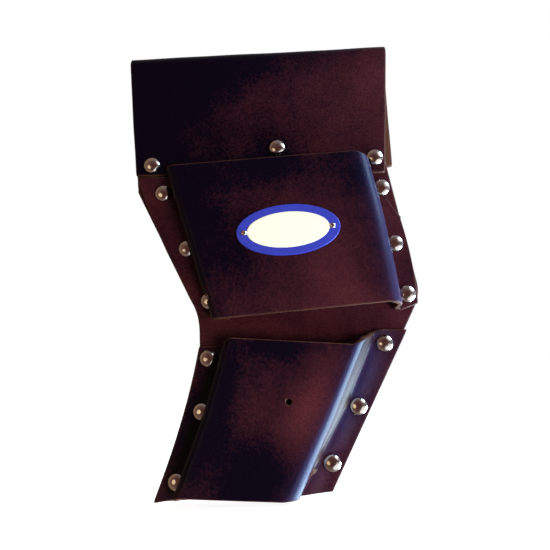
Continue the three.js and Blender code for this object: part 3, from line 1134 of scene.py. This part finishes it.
LABEL_STEPS = 96  # facets round an oval disc
ROLL_STEPS = 5  # facets over its front rim
LABEL_ROLL = 0.5 * MM  # radius of the discs' front rims
FIELD_RISE = 0.12 * MM  # how far the painted field stands out of the border
FIELD_DEPTH = 0.3 * MM  # how deep the field is set in the border
BORDER_TAPER = 0.72  # the border's width over the field, as a share of its width at the ends
PIN_DOME = 0.8 * MM
PIN_DOME_STEPS = 8
PIN_SHANK = 0.8 * MM
PIN_SINK = 0.2 * MM  # how far a pin's head beds into the label
PIN_TAIL = 0.5 * MM
PIN_TAIL_RADII = 0.9, 0.7  # of the tail's seat and end, as shares of the head's


def ellipse_radii(low, high, tilt):
    """The long and short radius of a tilted ellipse, from its box."""
    wide, tall = (high.x - low.x) / 2, (high.z - low.z) / 2
    cos2, sin2 = math.cos(tilt) ** 2, math.sin(tilt) ** 2
    spread = cos2 ** 2 - sin2 ** 2
    length = math.sqrt((wide ** 2 * cos2 - tall ** 2 * sin2) / spread)
    height = math.sqrt((tall ** 2 * cos2 - wide ** 2 * sin2) / spread)
    return length, height


def pin_profile(low, high, seat):
    """A small domed pin with a peened tail."""
    radius = (high.x - low.x) / 2
    tail, end = (radius * share for share in PIN_TAIL_RADII)
    return [
        *dome(radius, low.y, PIN_DOME, PIN_DOME_STEPS),
        (radius, seat),
        (PIN_SHANK, seat),
        (PIN_SHANK, high.y - PIN_TAIL),
        (tail, high.y - PIN_TAIL),
        (end, high.y),
        (0.0, high.y),
    ]


def oval(name, centre, tilt, length, height, back, front, material, node):
    """A low oval disc with a rounded front rim."""
    rings = [(0.0, back)]
    for k in range(ROLL_STEPS + 1):
        angle = math.pi / 2 * k / ROLL_STEPS
        rings.append((LABEL_ROLL * (1 - math.cos(angle)),
                      front + LABEL_ROLL * (1 - math.sin(angle))))
    rings.append((3 * LABEL_ROLL, front))
    vertices = []
    for inset, y in rings:
        for k in range(LABEL_STEPS):
            angle = 2 * math.pi * k / LABEL_STEPS
            x, z = (length - inset) * math.cos(angle), (height - inset) * math.sin(angle)
            vertices.append((
                centre.x + x * math.cos(tilt) - z * math.sin(tilt),
                y,
                centre.z + x * math.sin(tilt) + z * math.cos(tilt),
            ))
    starts = [i * LABEL_STEPS for i in range(len(rings))]
    faces = [list(reversed(range(LABEL_STEPS))), [starts[-1] + k for k in range(LABEL_STEPS)]]
    for here, there in zip(starts, starts[1:]):
        faces += band(there, here, LABEL_STEPS)
    return new_object(name, vertices, faces, material, "label", node)


class HOLSTER_OT_label(bpy.types.Operator):
    """Pin the blank oval label to the upper pocket"""

    bl_idname = "holster.label"
    bl_label = "Label"

    def execute(self, context):
        settings = context.scene.holster_hardware
        pins = ("label_pin_left", "label_pin_right")
        (left_x, left_z), (right_x, right_z) = rivet_centres(*pins)
        tilt = math.atan2(right_z - left_z, right_x - left_x)
        low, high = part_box("label_plate")
        centre = (low + high) / 2
        length, height = ellipse_radii(low, high, tilt)
        blue = paint_material("Label Blue", settings.blue, 0.75)
        white = paint_material("Label White", settings.white, 0.93)
        oval("label_border", centre, tilt, length, height, high.y + FIT_GAP, low.y, blue,
             "label_plate")
        border = settings.label_border
        oval("label_field", centre, tilt, length - border, height - border * BORDER_TAPER,
             low.y + FIELD_DEPTH, low.y - FIELD_RISE, white, "label_plate")
        nickel = nickel_material("Pin Nickel", bias=0.6)
        for name in pins:
            (x, z), = rivet_centres(name)
            profile = pin_profile(*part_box(name), low.y + PIN_SINK)
            new_object(name + "_head", *turned(profile, x, z), nickel, "nickel", name)
        return {"FINISHED"}


# The stage.

ROOM_FRONT = (0.09, 0.035, 0.03, 1.0)
ROOM_LEFT = (0.26, 0.16, 0.11, 1.0)
ROOM_RIGHT = (0.26, 0.26, 0.30, 1.0)
SHEET_BEHIND = (0.8, 0.8, 0.85, 1.0)
# Bright places round the room: direction, outer and inner half angles in degrees, and colour.
ROOM_LIGHTS = [
    ((0.62, -0.55, -0.56), 34, 24, (1.25, 1.25, 1.3)),
    ((0.66, -0.50, 0.56), 21, 14, (1.25, 1.25, 1.3)),
    ((-0.46, -0.88, -0.05), 15, 8, (1.1, 0.85, 0.55)),
]
# Lamps: name, place from the holster's middle, width, height, watts, colour setting, and
# whether it shines in the gloss. The last one lifts the dye's colour and leaves no glare.
LAMPS = [
    ("Window", (0.47, 0.12, -0.28), 0.65, 0.40, 25.0, "window", True),
    ("Skylight", (0.50, -0.10, 0.36), 0.3, 0.3, 4.0, "window", True),
    ("Lamp", (0.40, -0.80, -0.25), 0.3, 0.3, 10.0, "lamp", False),
]
FLOOR_REACH = 4.0  # half the floor's width, in metres
SENSOR = 36.0  # the camera's sensor width, in millimetres


def floor_material():
    """A pale floor that is bright to the eye and lends the holster little light."""
    material, tree, surface = new_material("Floor")
    path = add_node(tree, "LightPath")
    pale = add_node(tree, "BsdfDiffuse", {"Color": (0.9, 0.9, 0.9, 1.0)})
    dim = add_node(tree, "BsdfDiffuse", {"Color": (0.25, 0.25, 0.25, 1.0)})
    glow = add_node(tree, "Emission", {"Color": (1.0, 1.0, 1.0, 1.0), "Strength": 0.9})
    seen = add_node(tree, "AddShader", {0: pale.outputs[0], 1: glow.outputs[0]})
    both = add_node(tree, "MixShader", {
        0: path.outputs["Is Camera Ray"], 1: dim.outputs[0], 2: seen.outputs[0],
    })
    tree.links.new(both.outputs[0], surface)
    return material


def build_world():
    """White to the eye; to the holster, a white sheet behind it and a dim room in front."""
    world = bpy.data.worlds.new("Studio")
    world.use_nodes = True
    tree = world.node_tree
    tree.nodes.clear()
    direction = add_node(tree, "TexCoord").outputs["Generated"]
    axes = add_node(tree, "SeparateXYZ", {0: direction}).outputs
    in_front = mapped(tree, axes["Y"], -0.95, -0.35)
    side = mapped(tree, axes["X"], -0.6, 0.6)
    behind = maths(tree, "MULTIPLY", mapped(tree, axes["Y"], -0.1, 0.4), side)
    walls = mix_colour(tree, side, ROOM_LEFT, ROOM_RIGHT)
    sides = mix_colour(tree, behind, walls, SHEET_BEHIND)
    room = mix_colour(tree, in_front, ROOM_FRONT, sides)
    for centre, outer, inner, colour in ROOM_LIGHTS:
        near = add_node(tree, "VectorMath", {0: direction, 1: Vector(centre).normalized()},
                        operation="DOT_PRODUCT").outputs["Value"]
        spread = mapped(tree, near, math.cos(math.radians(outer)), math.cos(math.radians(inner)))
        room = mix_colour(tree, spread, room, with_alpha(colour))
    path = add_node(tree, "LightPath")
    seen = mix_colour(tree, path.outputs["Is Camera Ray"], room, (1.0, 1.0, 1.0, 1.0))
    background = add_node(tree, "Background", {"Color": seen})
    output = add_node(tree, "OutputWorld")
    tree.links.new(background.outputs[0], output.inputs["Surface"])
    bpy.context.scene.world = world


def hang_lamp(middle, name, place, width, height, power, colour, glossy):
    """A soft rectangular light that the camera doesn't see, turned to the holster."""
    data = bpy.data.lights.new(name, "AREA")
    data.shape = "RECTANGLE"
    data.size, data.size_y = width, height
    data.energy = power
    data.color = colour
    light = bpy.data.objects.new(name, data)
    light.location = middle + Vector(place)
    light.rotation_euler = (middle - light.location).to_track_quat("-Z", "Y").to_euler()
    light.visible_camera = False
    light.visible_glossy = glossy
    bpy.context.scene.collection.objects.link(light)


def lay_floor(middle, drop):
    """A wide pale floor just below the holster's toe."""
    mesh = bpy.data.meshes.new("floor")
    z = CAD_LOW.z - drop
    corners = [(-1, -1), (1, -1), (1, 1), (-1, 1)]
    mesh.from_pydata([(middle.x + x * FLOOR_REACH, y * FLOOR_REACH, z) for x, y in corners], [],
                     [(0, 1, 2, 3)])
    mesh.materials.append(floor_material())
    floor = bpy.data.objects.new("floor", mesh)
    bpy.context.scene.collection.objects.link(floor)
    # The lights stand partly below the floor, which is only there to be seen.
    floor.visible_shadow = floor.visible_glossy = floor.visible_diffuse = False


def place_camera(middle, settings):
    """A camera low in front of the holster, a little to its right."""
    data = bpy.data.cameras.new("Camera")
    data.lens = settings.lens
    data.sensor_width = SENSOR
    data.clip_start, data.clip_end = 0.01, 20.0
    camera = bpy.data.objects.new("Camera", data)
    azimuth, elevation = settings.azimuth, settings.elevation
    back = Vector((
        math.sin(azimuth) * math.cos(elevation),
        -math.cos(azimuth) * math.cos(elevation),
        math.sin(elevation),
    ))
    facing = (-back).to_track_quat("-Z", "Y").to_matrix()
    turn = Matrix.Rotation(-settings.roll, 3, "Z")
    place = middle + Vector(settings.aim) + back * settings.distance
    camera.matrix_world = Matrix.Translation(place) @ (facing @ turn).to_4x4()
    bpy.context.scene.collection.objects.link(camera)
    bpy.context.scene.camera = camera


class HOLSTER_OT_stage(bpy.types.Operator):
    """Lay the floor, hang the lights and place the camera"""

    bl_idname = "holster.stage"
    bl_label = "Stage"

    def execute(self, context):
        settings = context.scene.holster_stage
        middle = (CAD_LOW + CAD_HIGH) / 2
        lay_floor(middle, settings.floor_drop)
        build_world()
        for name, place, width, height, power, colour, glossy in LAMPS:
            hang_lamp(middle, name, place, width, height, power, getattr(settings, colour), glossy)
        place_camera(middle, settings)
        context.scene.view_settings.view_transform = "Standard"
        return {"FINISHED"}


STEPS = (
    HOLSTER_OT_stage,
    HOLSTER_OT_back_panel,
    HOLSTER_OT_belt_loop,
    HOLSTER_OT_upper_pocket,
    HOLSTER_OT_lower_pocket,
    HOLSTER_OT_label,
    HOLSTER_OT_rivets,
)


class HOLSTER_PT_build(bpy.types.Panel):
    """Buttons for each piece of the holster"""

    bl_idname = "HOLSTER_PT_build"
    bl_label = "Holster"
    bl_space_type = "VIEW_3D"
    bl_region_type = "UI"
    bl_category = "Holster"

    def draw(self, context):
        for step in STEPS:
            self.layout.operator(step.bl_idname)


SETTINGS = {
    "holster_leather": LeatherSettings,
    "holster_hardware": HardwareSettings,
    "holster_stage": StageSettings,
}


def register():
    for name, settings in SETTINGS.items():
        bpy.utils.register_class(settings)
        setattr(bpy.types.Scene, name, PointerProperty(type=settings))
    for step in STEPS:
        bpy.utils.register_class(step)
    bpy.utils.register_class(HOLSTER_PT_build)


def unregister():
    bpy.utils.unregister_class(HOLSTER_PT_build)
    for step in reversed(STEPS):
        bpy.utils.unregister_class(step)
    for name, settings in SETTINGS.items():
        delattr(bpy.types.Scene, name)
        bpy.utils.unregister_class(settings)


def main():
    register()
    for step in STEPS:
        group, name = step.bl_idname.split(".")
        getattr(getattr(bpy.ops, group), name)()


if __name__ == "__main__":
    main()
